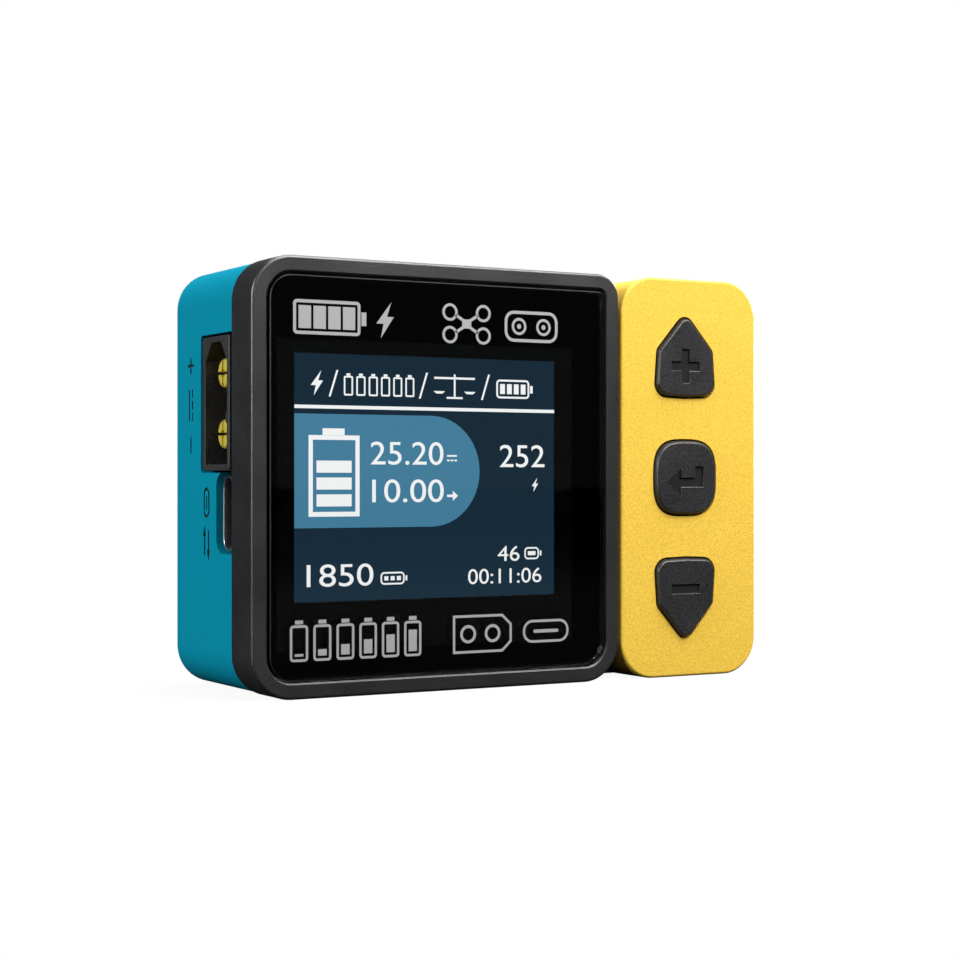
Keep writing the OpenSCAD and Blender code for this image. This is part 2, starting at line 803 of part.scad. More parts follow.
module power_inductors() {
    color([0.28, 0.28, 0.3]) for (s = [-1, 1]) on_board(sink_x + 16.4, s * 5.8) {
        back_extrude(5.2) rounded_rect(9.6, 9.6, 0.9);
        translate([0, 5.2 - eps, 0]) back_bar(4.1, 0.3);
    }
}

module capacitors() {
    can_r = 3.1;
    color([0.75, 0.75, 0.77]) for (p = [[10.2, -12.6], [10.2, -19.2], [17.1, -19.2],
                                        [11.8, 20.2], [19, 20.2]])
        on_board(x_left + p[0], p[1]) {
            back_bar(can_r, 7);
            slab(6.4, 0.9, 6.4);
        }
}

module control_chips() {
    color([0.09, 0.09, 0.1]) {
        on_board(sink_x + 6.3, 18.4) slab(7, 1, 7);
        on_board(x_left + 12.8, -4.4) slab(5, 0.9, 5);
        on_board(sink_x - 3.5, 18.8) slab(5, 1.2, 4);
        on_board(sink_x + 6.8, -18.6) slab(4, 1.1, 5);
    }
}

module buzzer() {
    color([0.12, 0.12, 0.13]) on_board(sink_x + 18.4, -15.4) difference() {
        back_extrude(2.6) rounded_rect(5.4, 5.4, 0.5);
        translate([0, 1.6, 0]) back_bar(0.8, 2);
    }
}

module input_fuse() {
    color([0.88, 0.86, 0.8]) on_board(x_left + 15.6, -9.8) {
        slab(2.2, 2.4, 1.8);
        for (s = [-1, 1]) translate([0, 0, s * 1.55]) slab(2.6, 2.6, 1.3);
    }
}

module balance_resistors() {
    color([0.12, 0.13, 0.14]) for (i = [0:1], j = [0:3])
        on_board(sink_x + 17.6 + i * 3.2, 13.6 + j * 1.9) slab(2.1, 0.55, 1.3);
}

// ---- Buttons and switches --------------------------------------------------

// A button cap with a bevelled face, its guide and its retaining flange.
module button_cap(row) {
    bevel = 0.3;
    hull() {
        back_extrude(flange_front + flange_t / 2) button_outline(row, -button_gap);
        translate([0, -button_proud, 0]) back_extrude(wall)
            button_outline(row, -button_gap - bevel);
    }
    translate([0, flange_front, 0]) back_extrude(flange_t) button_outline(row, 0.6);
}

// Cuts a sign into the face of a button, a little left of the middle.
module button_sign() {
    sign_depth = 0.2;
    sign_x = -0.2;
    translate([sign_x, -button_proud - 1, 0]) back_extrude(sign_depth + 1) children();
}

// Plus and minus signs: length, line width, distance from the button's centre
sign_size = 4.35;
sign_line = 1.16;
sign_z = 1.15;

module up_button() {
    color([0.24, 0.24, 0.26]) at_button(1) difference() {
        button_cap(1);
        button_sign() translate([0, -sign_z]) {
            square([sign_size, sign_line], center = true);
            square([sign_line, sign_size], center = true);
        }
    }
}

module enter_button() {
    color([0.24, 0.24, 0.26]) at_button(0) difference() {
        button_cap(0);
        // Return arrow: its head, its shaft and the turn up at the right
        button_sign() translate([-0.13, -0.62]) {
            polygon([[-2.72, 0], [-0.62, 1.72], [-0.62, -1.72]]);
            translate([-0.63, -sign_line / 2]) square([3.5, sign_line]);
            translate([2.87 - sign_line, -sign_line / 2]) square([sign_line, 2.6]);
        }
    }
}

module down_button() {
    color([0.24, 0.24, 0.26]) at_button(-1) difference() {
        button_cap(-1);
        button_sign() translate([0, sign_z]) square([sign_size, sign_line], center = true);
    }
}

module switch_plunger(row) {
    plunger_len = 1.9;
    color([0.85, 0.85, 0.82]) at_button(row)
        translate([0, flange_front + flange_t, 0]) back_bar(plunger_r, plunger_len);
}

module up_switch_plunger() {
    switch_plunger(1);
}

module enter_switch_plunger() {
    switch_plunger(0);
}

module down_switch_plunger() {
    switch_plunger(-1);
}

module switch_bases() {
    base_t = pcb_front - switch_front;
    color([0.2, 0.2, 0.21]) for (row = [-1:1]) at_button(row) difference() {
        translate([0, switch_front, 0]) slab(switch_side, base_t, switch_side);
        translate([0, switch_front - eps, 0]) back_bar(plunger_r + 0.06, base_t - 0.4);
    }
}

// ---- Cooling ----------------------------------------------------------------

module fan_frame() {
    bore_r = rotor_r + 0.5;
    base_t = 1;
    color([0.09, 0.09, 0.1]) {
        difference() {
            at(fan_x, fan_depth, 0) back_extrude(fan_t) rounded_rect(fan_side, fan_side, 2);
            at(fan_x, fan_depth - eps, 0) back_bar(bore_r, fan_t + 1);
            at_fan_screws() translate([0, -case_d, 0]) back_bar(screw_r + 0.02, case_d);
        }
        at(fan_x, fan_depth, 0) difference() {
            union() {
                back_bar(hub_r - 0.6, base_t);
                for (a = [0:120:240]) rotate([0, a + 15, 0])
                    translate([bore_r / 2 + 0.2, 0, 0]) slab(bore_r + 0.4, base_t, 1.6);
                back_bar(2.1, fan_t - 2.2);
            }
            translate([0, base_t * 0.4, 0]) back_bar(1.51, fan_t);
        }
    }
}

module fan_bearing() {
    color([0.8, 0.62, 0.3]) at(fan_x, fan_depth + 0.4, 0) difference() {
        back_bar(1.5, fan_t - 2.6);
        translate([0, 0.5, 0]) back_bar(0.79, fan_t);
    }
}

module fan_stator() {
    tooth_t = 2.4;
    color([0.7, 0.38, 0.18]) at(fan_x, fan_depth + 1.4, 0) difference() {
        union() {
            back_bar(2.9, tooth_t);
            for (a = [0:90:270]) rotate([0, a, 0]) {
                translate([2.8, 0, 0]) slab(3.4, tooth_t, 1.8);
                intersection() {
                    back_bar(4.8, tooth_t);
                    translate([4.4, 0, 0]) slab(1.2, tooth_t, 4.2);
                }
            }
        }
        translate([0, -eps, 0]) back_bar(2.11, tooth_t + 1);
    }
}

// Everything that turns is kept inside these depths, counted from the fan's front.
rotor_front = 1.5;
rotor_back = fan_t - 0.4;

module fan_rotor() {
    cup_wall = 0.8;
    cup_len = rotor_back - rotor_front;
    blade_t = 0.8;
    pitch_angle = 38;
    color([0.11, 0.11, 0.12]) at(fan_x, fan_depth + rotor_front, 0) {
        difference() {
            back_bar(hub_r, cup_len);
            translate([0, -eps, 0]) back_bar(hub_r - cup_wall, cup_len - cup_wall);
            back_bar(0.75, cup_len - cup_wall / 2);
        }
        intersection() {
            difference() {
                back_bar(rotor_r, cup_len);
                translate([0, -eps, 0]) back_bar(hub_r - cup_wall / 2, cup_len + 1);
            }
            for (i = [0:blade_n - 1]) rotate([0, i * 360 / blade_n, 0])
                translate([rotor_r / 2, cup_len / 2, 0]) rotate([pitch_angle, 0, 0])
                    cube([rotor_r + 2, 8, blade_t], center = true);
        }
    }
}

module fan_magnet() {
    color([0.3, 0.3, 0.32]) at(fan_x, fan_depth + rotor_front + 0.1, 0) difference() {
        back_bar(hub_r - 0.81, 3.2);
        translate([0, -eps, 0]) back_bar(5.2, 4);
    }
}

module fan_shaft() {
    shaft_front = 1;
    color([0.8, 0.8, 0.82]) at(fan_x, fan_depth + shaft_front, 0)
        back_bar(0.74, rotor_back - 0.4 - shaft_front);
}

module fan_screws() {
    color([0.2, 0.2, 0.21]) at_fan_screws() flat_screw(7);
}

lead_x = fan_x + 3;
lead_z = -fan_side / 2;

module fan_connector() {
    color([0.93, 0.92, 0.88]) on_board(lead_x, lead_z - 3.4) difference() {
        slab(5, 3.6, 3.4);
        for (s = [-1, 1]) translate([s * 1, 1.6, 0]) back_bar(0.46, 4);
    }
}

// Two insulated wires from the fan down to its connector, with one bend each.
module fan_lead() {
    wire_r = 0.42;
    bend_r = 1.4;
    top_depth = fan_depth + 1;
    plug_depth = pcb_back + 1.6;
    wire_z = lead_z - 3.4;
    color([0.75, 0.1, 0.08]) for (s = [-1, 1]) at(lead_x + s, top_depth, wire_z) {
        translate([0, 0, bend_r]) cylinder(r = wire_r, h = lead_z - wire_z - bend_r);
        translate([0, -bend_r, bend_r]) rotate([90, 0, 90]) rotate([0, 0, -90])
            rotate_extrude(angle = 90) translate([bend_r, 0]) circle(wire_r);
        translate([0, plug_depth - top_depth, 0])
            back_bar(wire_r, top_depth - plug_depth - bend_r);
    }
}

// ---- Fasteners ---------------------------------------------------------------

module case_screws() {
    color([0.2, 0.2, 0.21]) at_posts() translate([0, case_d, 0]) flat_screw(case_d - 3);
}

module cap_standoffs() {
    color([0.8, 0.66, 0.3]) at_standoffs() difference() {
        translate([0, pcb_back, 0]) rotate([-90, 0, 0])
            cylinder(r = 2, h = bay_back - 0.05 - pcb_back, $fn = 6);
        translate([0, pcb_back + 2, 0]) back_bar(screw_r + 0.02, case_d);
    }
}

module cap_screws() {
    color([0.2, 0.2, 0.21]) at_standoffs() translate([0, case_d, 0]) flat_screw(6);
}

front_bezel();
left_housing();
right_housing();
display_glass();
glass_adhesive();
lcd_panel();
lcd_backlight();
lcd_back_plate();
lcd_flex();
lcd_connector();
main_pcb();
input_connector_housing();
input_connector_pins();
output_connector_housing();
output_connector_sockets();
usb_port_shell();
usb_port_tongue();
balance_socket();
balance_pins();
up_button();
enter_button();
down_button();
up_switch_plunger();
enter_switch_plunger();
down_switch_plunger();
switch_bases();
fan_frame();
fan_rotor();
fan_magnet();
fan_shaft();
fan_bearing();
fan_stator();
fan_screws();
fan_connector();
fan_lead();
heat_sink();
thermal_pad();
mosfets();
power_inductors();
capacitors();
control_chips();
buzzer();
input_fuse();
balance_resistors();
case_screws();
cap_standoffs();
cap_screws();
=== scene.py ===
"""Looks for the balance battery charger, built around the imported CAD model.

Metres, in the CAD's frame: +X right, +Y back, +Z up. Sizes in the tables are
millimetres and are multiplied by MM where they are used.
"""
import json
import math

import bmesh
import bpy
from mathutils import Matrix, Vector


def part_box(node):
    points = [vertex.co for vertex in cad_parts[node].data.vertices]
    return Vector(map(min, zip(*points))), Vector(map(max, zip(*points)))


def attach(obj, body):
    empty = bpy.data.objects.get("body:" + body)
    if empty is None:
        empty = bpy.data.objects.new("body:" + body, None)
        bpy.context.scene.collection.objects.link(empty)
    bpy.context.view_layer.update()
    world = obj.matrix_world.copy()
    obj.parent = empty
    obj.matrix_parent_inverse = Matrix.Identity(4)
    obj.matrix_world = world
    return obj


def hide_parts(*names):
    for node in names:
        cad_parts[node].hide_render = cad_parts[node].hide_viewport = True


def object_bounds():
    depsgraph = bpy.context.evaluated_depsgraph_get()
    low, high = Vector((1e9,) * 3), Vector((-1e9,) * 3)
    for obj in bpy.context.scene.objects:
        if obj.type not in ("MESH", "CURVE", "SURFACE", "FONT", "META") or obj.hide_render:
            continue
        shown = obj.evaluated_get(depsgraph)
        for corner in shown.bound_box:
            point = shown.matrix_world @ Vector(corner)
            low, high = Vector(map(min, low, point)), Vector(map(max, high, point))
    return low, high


MM = 0.001

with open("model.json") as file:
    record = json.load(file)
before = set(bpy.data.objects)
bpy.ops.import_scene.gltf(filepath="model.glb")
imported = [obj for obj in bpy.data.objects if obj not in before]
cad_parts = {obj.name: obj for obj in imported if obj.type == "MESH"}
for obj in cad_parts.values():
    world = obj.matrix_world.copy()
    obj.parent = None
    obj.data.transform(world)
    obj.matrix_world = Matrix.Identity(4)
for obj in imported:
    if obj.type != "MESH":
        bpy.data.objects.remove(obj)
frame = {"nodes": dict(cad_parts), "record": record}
cad_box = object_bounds()
nodes = frame["nodes"]


# ---- Camera, floor and light ------------------------------------------------

CAMERA_PLACE = (-0.124, -0.21621, 0.0252)
CAMERA_TURN = 30  # degrees from +Y to the right
FOCAL_MM = 73.35
SENSOR_MM = 36

FLOOR_RADIUS = 6.0
AMBIENT = 0.05
AIM = Vector((0, 0, 0.028))

# name: place (m), width and height (m), power (W), colour
LIGHTS = {
    "key_soft_box": ((0.11, -0.17, 0.235), (0.3, 0.14), 1.75, (1, 0.99, 0.97)),
    "top_soft_box": ((0.03, 0, 0.3), (0.4, 0.16), 1.0, (1, 1, 1)),
    "front_fill": ((-0.3, -0.55, 0.22), (0.4, 0.2), 0.35, (1, 1, 1)),
    "side_fill": ((-0.42, -0.02, 0.15), (0.2, 0.16), 1.75, (0.97, 0.99, 1)),
    "back_fill": ((0.48, 0.34, 0.24), (0.5, 0.3), 4.0, (1, 1, 1)),
    "right_fill": ((0.42, 0.1, 0.12), (0.2, 0.2), 1.3, (1, 1, 1)),
}


def make_camera():
    """Level camera at the photo's viewing angle, about as high as the case's middle."""
    data = bpy.data.cameras.new("photo_camera")
    data.sensor_width = SENSOR_MM
    data.lens = FOCAL_MM
    data.clip_start = 0.005
    camera = bpy.data.objects.new("photo_camera", data)
    camera.location = CAMERA_PLACE
    camera.rotation_euler = (math.radians(90), 0, math.radians(-CAMERA_TURN))
    bpy.context.scene.collection.objects.link(camera)
    bpy.context.scene.camera = camera


def make_floor():
    """Plain pale disc that the charger stands on, white towards its rim."""
    mesh = bpy.data.meshes.new("floor")
    shape = bmesh.new()
    bmesh.ops.create_circle(shape, cap_ends=True, segments=64, radius=FLOOR_RADIUS)
    shape.to_mesh(mesh)
    shape.free()
    floor = bpy.data.objects.new("floor", mesh)
    bpy.context.scene.collection.objects.link(floor)
    mesh.materials.append(floor_material())


def floor_material():
    """Pale to look at, dark to the object above it, clear from below.

    Near the object the floor takes a little of its shadow. Away from it the
    floor glows white, so that no horizon shows.
    """
    pale_grey, dark_grey = 0.7, 0.015
    shadow_from, shadow_to = 0.03, 0.12
    glow_in_shadow = 0.93
    material = bpy.data.materials.new("floor")
    material.use_nodes = True
    tree = material.node_tree
    tree.nodes.clear()
    new = tree.nodes.new
    link = tree.links.new
    pale = new("ShaderNodeBsdfDiffuse")
    pale.inputs["Color"].default_value = (pale_grey, pale_grey, pale_grey, 1)
    glow = new("ShaderNodeEmission")
    dark = new("ShaderNodeBsdfDiffuse")
    dark.inputs["Color"].default_value = (dark_grey, dark_grey, dark_grey, 1)
    clear = new("ShaderNodeBsdfTransparent")
    length = new("ShaderNodeVectorMath")
    length.operation = "LENGTH"
    link(new("ShaderNodeTexCoord").outputs["Object"], length.inputs[0])
    ramp = new("ShaderNodeMapRange")
    ramp.interpolation_type = "SMOOTHSTEP"
    ramp.inputs["From Min"].default_value = shadow_from
    ramp.inputs["From Max"].default_value = shadow_to
    ramp.inputs["To Min"].default_value = glow_in_shadow
    link(length.outputs["Value"], ramp.inputs["Value"])

    def mixed(factor, first, second):
        mix = new("ShaderNodeMixShader")
        link(factor, mix.inputs["Fac"])
        link(first.outputs[0], mix.inputs[1])
        link(second.outputs[0], mix.inputs[2])
        return mix

    seen = mixed(ramp.outputs["Result"], pale, glow)
    either = mixed(new("ShaderNodeLightPath").outputs["Is Camera Ray"], dark, seen)
    top = mixed(new("ShaderNodeNewGeometry").outputs["Backfacing"], either, clear)
    link(top.outputs[0], new("ShaderNodeOutputMaterial").inputs["Surface"])
    return material


def make_world():
    """White behind the object, and a dim even light on it."""
    world = bpy.data.worlds.new("studio")
    bpy.context.scene.world = world
    world.use_nodes = True
    tree = world.node_tree
    tree.nodes.clear()
    out = tree.nodes.new("ShaderNodeOutputWorld")
    seen = tree.nodes.new("ShaderNodeBackground")
    seen.inputs["Color"].default_value = (1, 1, 1, 1)
    fill = tree.nodes.new("ShaderNodeBackground")
    fill.inputs["Color"].default_value = (0.9, 0.95, 1, 1)
    fill.inputs["Strength"].default_value = AMBIENT
    path = tree.nodes.new("ShaderNodeLightPath")
    mix = tree.nodes.new("ShaderNodeMixShader")
    link = tree.links.new
    link(path.outputs["Is Camera Ray"], mix.inputs["Fac"])
    link(fill.outputs[0], mix.inputs[1])
    link(seen.outputs[0], mix.inputs[2])
    link(mix.outputs[0], out.inputs["Surface"])


def make_lights():
    """Soft boxes that all face the middle of the case."""
    for name, (place, size, power, colour) in LIGHTS.items():
        data = bpy.data.lights.new(name, "AREA")
        data.shape = "RECTANGLE"
        data.size, data.size_y = size
        data.energy = power
        data.color = colour
        lamp = bpy.data.objects.new(name, data)
        lamp.location = place
        lamp.rotation_euler = (AIM - lamp.location).to_track_quat("-Z", "Y").to_euler()
        bpy.context.scene.collection.objects.link(lamp)


# ---- Materials --------------------------------------------------------------

def new_material(name):
    """An empty node material with its shader, and the place on the object."""
    material = bpy.data.materials.new(name)
    material.use_nodes = True
    shader = material.node_tree.nodes["Principled BSDF"]
    where = material.node_tree.nodes.new("ShaderNodeTexCoord").outputs["Object"]
    return material, material.node_tree, shader, where


def noise(tree, where, size_mm, detail=2, stretch=(1, 1, 1)):
    """Noise whose grains are about size_mm wide, stretched along the axes."""
    scale = tree.nodes.new("ShaderNodeMapping")
    scale.inputs["Scale"].default_value = [s / (size_mm * MM) for s in stretch]
    grain = tree.nodes.new("ShaderNodeTexNoise")
    grain.inputs["Scale"].default_value = 1
    grain.inputs["Detail"].default_value = detail
    tree.links.new(where, scale.inputs["Vector"])
    tree.links.new(scale.outputs["Vector"], grain.inputs["Vector"])
    return grain.outputs["Fac"]


def spread(tree, value, low, high, inner=0.3):
    """Maps noise, which keeps near a half, to the range from low to high."""
    ramp = tree.nodes.new("ShaderNodeMapRange")
    ramp.inputs["From Min"].default_value = inner
    ramp.inputs["From Max"].default_value = 1 - inner
    ramp.inputs["To Min"].default_value = low
    ramp.inputs["To Max"].default_value = high
    tree.links.new(value, ramp.inputs["Value"])
    return ramp.outputs["Result"]


def two_tone(tree, factor, first, second):
    """Colour that goes from first to second as the factor goes from 0 to 1."""
    mix = tree.nodes.new("ShaderNodeMix")
    mix.data_type = "RGBA"
    mix.inputs["A"].default_value = (*first, 1)
    mix.inputs["B"].default_value = (*second, 1)
    tree.links.new(factor, mix.inputs["Factor"])
    return mix.outputs["Result"]


def bump(tree, shader, value, height_mm):
    """Fine relief, height_mm from the lowest value to the highest."""
    node = tree.nodes.new("ShaderNodeBump")
    node.inputs["Distance"].default_value = height_mm * MM
    node.inputs["Strength"].default_value = 1.0
    tree.links.new(value, node.inputs["Height"])
    tree.links.new(node.outputs["Normal"], shader.inputs["Normal"])


def shade(colour, amount):
    """The colour made lighter or darker, each channel at most 1."""
    return tuple(min(1, c * amount) for c in colour)


def moulded(name, colour, rough, grain_mm, contrast, relief_mm,
            stretch=(1, 1, 1), metal=0.0, specular=0.5):
    """Moulded, cast or rolled surface: grain in colour, gloss and relief."""
    broad_mm = 9
    gloss_change = 0.05
    material, tree, shader, where = new_material(name)
    fine = noise(tree, where, grain_mm, 2, stretch)
    broad = noise(tree, where, broad_mm, 1)
    tone = spread(tree, fine, 0, 1)
    colours = two_tone(tree, tone, shade(colour, 1 - contrast), shade(colour, 1 + contrast))
    tree.links.new(colours, shader.inputs["Base Color"])
    gloss = spread(tree, broad, rough - gloss_change, rough + gloss_change)
    tree.links.new(gloss, shader.inputs["Roughness"])
    shader.inputs["Metallic"].default_value = metal
    shader.inputs["Specular IOR Level"].default_value = specular
    bump(tree, shader, fine, relief_mm)
    return material


def board_material(name, colour):
    """Solder mask over a net of tracks."""
    net_mm = 1.6
    track_height_mm = 0.02
    track_tone = shade(colour, 1.8)
    material, tree, shader, where = new_material(name)
    scale = tree.nodes.new("ShaderNodeMapping")
    scale.inputs["Scale"].default_value = (1 / (net_mm * MM),) * 3
    net = tree.nodes.new("ShaderNodeTexVoronoi")
    net.feature = "DISTANCE_TO_EDGE"
    net.inputs["Scale"].default_value = 1
    tree.links.new(where, scale.inputs["Vector"])
    tree.links.new(scale.outputs["Vector"], net.inputs["Vector"])
    track = spread(tree, net.outputs["Distance"], 1, 0, 0.42)
    colours = two_tone(tree, track, colour, track_tone)
    tree.links.new(colours, shader.inputs["Base Color"])
    fine = noise(tree, where, 0.3)
    tree.links.new(spread(tree, fine, 0.25, 0.4), shader.inputs["Roughness"])
    bump(tree, shader, track, track_height_mm)
    return material


def glass_material(name):
    """Clear cover glass with a trace of polish marks."""
    material, tree, shader, where = new_material(name)
    fine = noise(tree, where, 0.8)
    tint = two_tone(tree, fine, (0.93, 0.95, 0.95), (0.95, 0.965, 0.965))
    tree.links.new(tint, shader.inputs["Base Color"])
    tree.links.new(spread(tree, fine, 0.015, 0.03), shader.inputs["Roughness"])
    shader.inputs["Transmission Weight"].default_value = 1
    shader.inputs["IOR"].default_value = 1.45
    shader.inputs["Specular IOR Level"].default_value = 0.12
    return material


def light_material(name, low, high):
    """A lit area of the display, shading from low to high up the display."""
    shading_height = 30 * MM
    dot_mm, dot_share = 0.12, 0.06
    material, tree, shader, where = new_material(name)
    height = tree.nodes.new("ShaderNodeVectorMath")
    height.operation = "DOT_PRODUCT"
    height.inputs[1].default_value = (0, 0, 1 / shading_height)
    tree.links.new(where, height.inputs[0])
    dots = noise(tree, where, dot_mm)
    mixed = tree.nodes.new("ShaderNodeMath")
    mixed.operation = "MULTIPLY_ADD"
    mixed.inputs[1].default_value = dot_share
    tree.links.new(dots, mixed.inputs[0])
    tree.links.new(height.outputs["Value"], mixed.inputs[2])
    colours = two_tone(tree, mixed.outputs[0], low, high)
    shader.inputs["Base Color"].default_value = (0, 0, 0, 1)
    shader.inputs["Specular IOR Level"].default_value = 0
    tree.links.new(colours, shader.inputs["Emission Color"])
    shader.inputs["Emission Strength"].default_value = 1.0
    return material


# Brushed, turned and wound surfaces: the grain is stretched where it is below 1.
ALONG_X = (0.1, 1, 1)
ALONG_Y = (1, 0.1, 1)

# slot: colour, roughness, grain (mm), contrast, relief (mm), and what else differs
MOULDED = {
    "bezel_plastic": ((0.013, 0.013, 0.0142), 0.38, 0.17, 1.0, 0.03, {"specular": 0.85}),
    "teal_shell": ((0.0012, 0.228, 0.335), 0.4, 0.2, 0.04, 0.006, {"specular": 0.07}),
    "yellow_shell": ((0.73, 0.475, 0.059), 0.45, 0.2, 0.17, 0.025, {"specular": 0.25}),
    "black_tape": ((0.02, 0.02, 0.02), 0.9, 0.1, 0.2, 0.02, {}),
    "lcd_cell": ((0.006, 0.007, 0.009), 0.3, 0.4, 0.1, 0.002, {}),
    "white_plastic": ((0.8, 0.8, 0.77), 0.45, 0.3, 0.03, 0.006, {}),
    "sheet_steel": ((0.62, 0.62, 0.64), 0.28, 0.12, 0.08, 0.003,
                    {"stretch": ALONG_X, "metal": 1.0}),
    "flex_film": ((0.6, 0.27, 0.04), 0.25, 0.5, 0.15, 0.004, {}),
    "cream_plastic": ((0.82, 0.77, 0.66), 0.4, 0.2, 0.04, 0.006, {}),
    "connector_nylon": ((0.028, 0.027, 0.028), 0.45, 0.24, 0.6, 0.06, {}),
    "contact_brass": ((0.9, 0.72, 0.09), 0.32, 0.3, 0.06, 0.004,
                      {"stretch": (0.2, 1, 1), "metal": 0.45}),
    "black_plastic": ((0.015, 0.015, 0.017), 0.42, 0.2, 0.2, 0.01, {}),
    "button_plastic": ((0.016, 0.016, 0.018), 0.4, 0.2, 0.8, 0.04, {"specular": 0.6}),
    "fan_plastic": ((0.016, 0.016, 0.018), 0.4, 0.3, 0.15, 0.008, {}),
    "magnet": ((0.05, 0.05, 0.055), 0.6, 0.15, 0.2, 0.01, {}),
    "shaft_steel": ((0.68, 0.68, 0.7), 0.15, 0.1, 0.05, 0.001,
                    {"stretch": ALONG_Y, "metal": 1.0}),
    "bearing_bronze": ((0.55, 0.36, 0.14), 0.4, 0.1, 0.2, 0.008, {"metal": 1.0}),
    "copper_winding": ((0.62, 0.25, 0.09), 0.25, 0.25, 0.25, 0.05,
                       {"stretch": (1, 0.05, 1), "metal": 1.0}),
    "screw_steel": ((0.035, 0.035, 0.037), 0.3, 0.2, 0.15, 0.004, {"metal": 0.6}),
    "wire_insulation": ((0.5, 0.02, 0.015), 0.35, 0.4, 0.1, 0.006, {}),
    "sink_aluminium": ((0.6, 0.61, 0.63), 0.35, 0.1, 0.12, 0.006,
                       {"stretch": (0.05, 1, 1), "metal": 1.0}),
    "thermal_silicone": ((0.3, 0.36, 0.45), 0.7, 0.2, 0.1, 0.02, {}),
    "chip_resin": ((0.02, 0.02, 0.022), 0.5, 0.12, 0.2, 0.01, {}),
    "ferrite": ((0.09, 0.09, 0.1), 0.55, 0.15, 0.25, 0.02, {}),
    "can_aluminium": ((0.68, 0.68, 0.7), 0.25, 0.15, 0.06, 0.003,
                      {"stretch": ALONG_Y, "metal": 1.0}),
    "ceramic_body": ((0.8, 0.78, 0.7), 0.3, 0.3, 0.04, 0.004, {}),
}

MATERIALS = {slot: moulded(slot, *look, **more) for slot, (*look, more) in MOULDED.items()}
MATERIALS["cover_glass"] = glass_material("cover_glass")
MATERIALS["circuit_board"] = board_material("circuit_board", (0.008, 0.075, 0.035))

SILVER_INK = moulded("silver_ink", (0.33, 0.33, 0.33), 0.42, 0.12, 0.06, 0.004)
SIGN_INK = moulded("sign_ink", (0.009, 0.009, 0.01), 0.6, 0.2, 0.3, 0.008, specular=0.2)
GROUND_GLASS = moulded("ground_glass", (0.012, 0.0125, 0.013), 0.4, 0.1, 0.08, 0.003)
# Dark teal for the engraved signs on the left side: painted shade in the engravings, not ink.
ENGRAVING_SHADE = moulded("engraving_shade", (0.004, 0.02, 0.026), 0.6, 0.15, 0.1, 0.004)
BLACK_INK = moulded("black_ink", (0.002, 0.0025, 0.0025), 0.9, 0.5, 0.2, 0.001, specular=0)


def finish_cad_nodes():
    """Gives each CAD node the procedural material of its slot."""
    for row in frame["record"]["subparts"]:
        mesh = nodes[row["node"]].data
        mesh.materials.clear()
        mesh.materials.append(MATERIALS[row["material_slot"]])


# ---- Softened copies of CAD nodes -------------------------------------------

def body_of(node):
    """The moving or fixed body that the node belongs to."""
    bodies = frame["record"]["behaviour"]["bodies"]
    return next(body for body, members in bodies.items() if node in members)


def copy_of(node):
    """A copy of a CAD node for more detail, which stands for the node."""
    piece = nodes[node].copy()
    piece.data = nodes[node].data.copy()
    piece.parent = None
    for key in list(piece.keys()):
        del piece[key]
    piece.name = node + "_detailed"
    piece.data.name = piece.name
    bpy.context.scene.collection.objects.link(piece)
    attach(piece, body_of(node))
    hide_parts(node)
    return piece


WELD = 0.002 * MM
FLAT_WITHIN = math.radians(0.5)
SHARP_FROM = 35  # degrees between two faces


def clean_mesh(mesh, edit=None, sharp_from=SHARP_FROM):
    """Joins the CAD mesh's triangles into whole faces, and edits them."""
    shape = bmesh.new()
    shape.from_mesh(mesh)
    bmesh.ops.remove_doubles(shape, verts=shape.verts, dist=WELD)
    bmesh.ops.dissolve_limit(shape, angle_limit=FLAT_WITHIN, verts=shape.verts,
                             edges=shape.edges)
    if edit:
        edit(shape)
    for face in shape.faces:
        face.smooth = True
    shape.to_mesh(mesh)
    shape.free()
    mesh.set_sharp_from_angle(angle=math.radians(sharp_from))


def round_edges(piece, width_mm):
    """Rounds the sharp edges and keeps the flat faces flat."""
    bevel = piece.modifiers.new("round_edges", "BEVEL")
    bevel.width = width_mm * MM
    bevel.segments = 2
    bevel.limit_method = "ANGLE"
    bevel.angle_limit = math.radians(SHARP_FROM)
    flat_faces = piece.modifiers.new("flat_faces", "WEIGHTED_NORMAL")
    flat_faces.weight = 100
    flat_faces.keep_sharp = True


def soften(node, width_mm, edit=None):
    """A copy of a CAD node with its sharp edges rounded."""
    piece = copy_of(node)
    clean_mesh(piece.data, edit)
    round_edges(piece, width_mm)
    return piece


def shade_side_marks():
    """Painted shade in the signs that are engraved in the left side: a dark teal on their faces.

    The signs' faces lie just under the side, away from the shell's own edges.
    """
    least_depth, most_depth = 0.02, 0.25
    from_front, from_back = 8, 2
    lowest, highest = 6, 45
    shell = copy_of("left_housing")
    shell.data.materials.append(ENGRAVING_SHADE)
    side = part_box("left_housing")[0].x / MM
    front, back = (corner.y / MM for corner in cad_box)
    for face in shell.data.polygons:
        x, y, z = face.center / MM
        if (least_depth < x - side < most_depth and front + from_front < y < back - from_back
                and lowest < z < highest):
            # Faces inside the engraved signs take the dark teal of painted shade.
            face.material_index = 1


def make_button(node):
    """A button cap with soft edges and a dark sunk sign."""
    edge_mm = 0.07
    sign_depth = 0.2 * MM
    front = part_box(node)[0].y

    def ink_sign(shape):
        for face in shape.faces:
            depth = face.calc_center_median().y - front
            on_floor = face.normal.y < -0.99 and 0.5 * sign_depth < depth < 1.5 * sign_depth
            on_wall = abs(face.normal.y) < 0.05 and depth < 0.95 * sign_depth
            face.material_index = 1 if on_floor or on_wall else 0

    button = soften(node, edge_mm, ink_sign)
    button.data.materials.append(SIGN_INK)


# ---- Flat shapes for the prints and the display -----------------------------
# Their sizes and places are millimetres, x to the right and z up.

LIT_THICKNESS_MM = 0.01


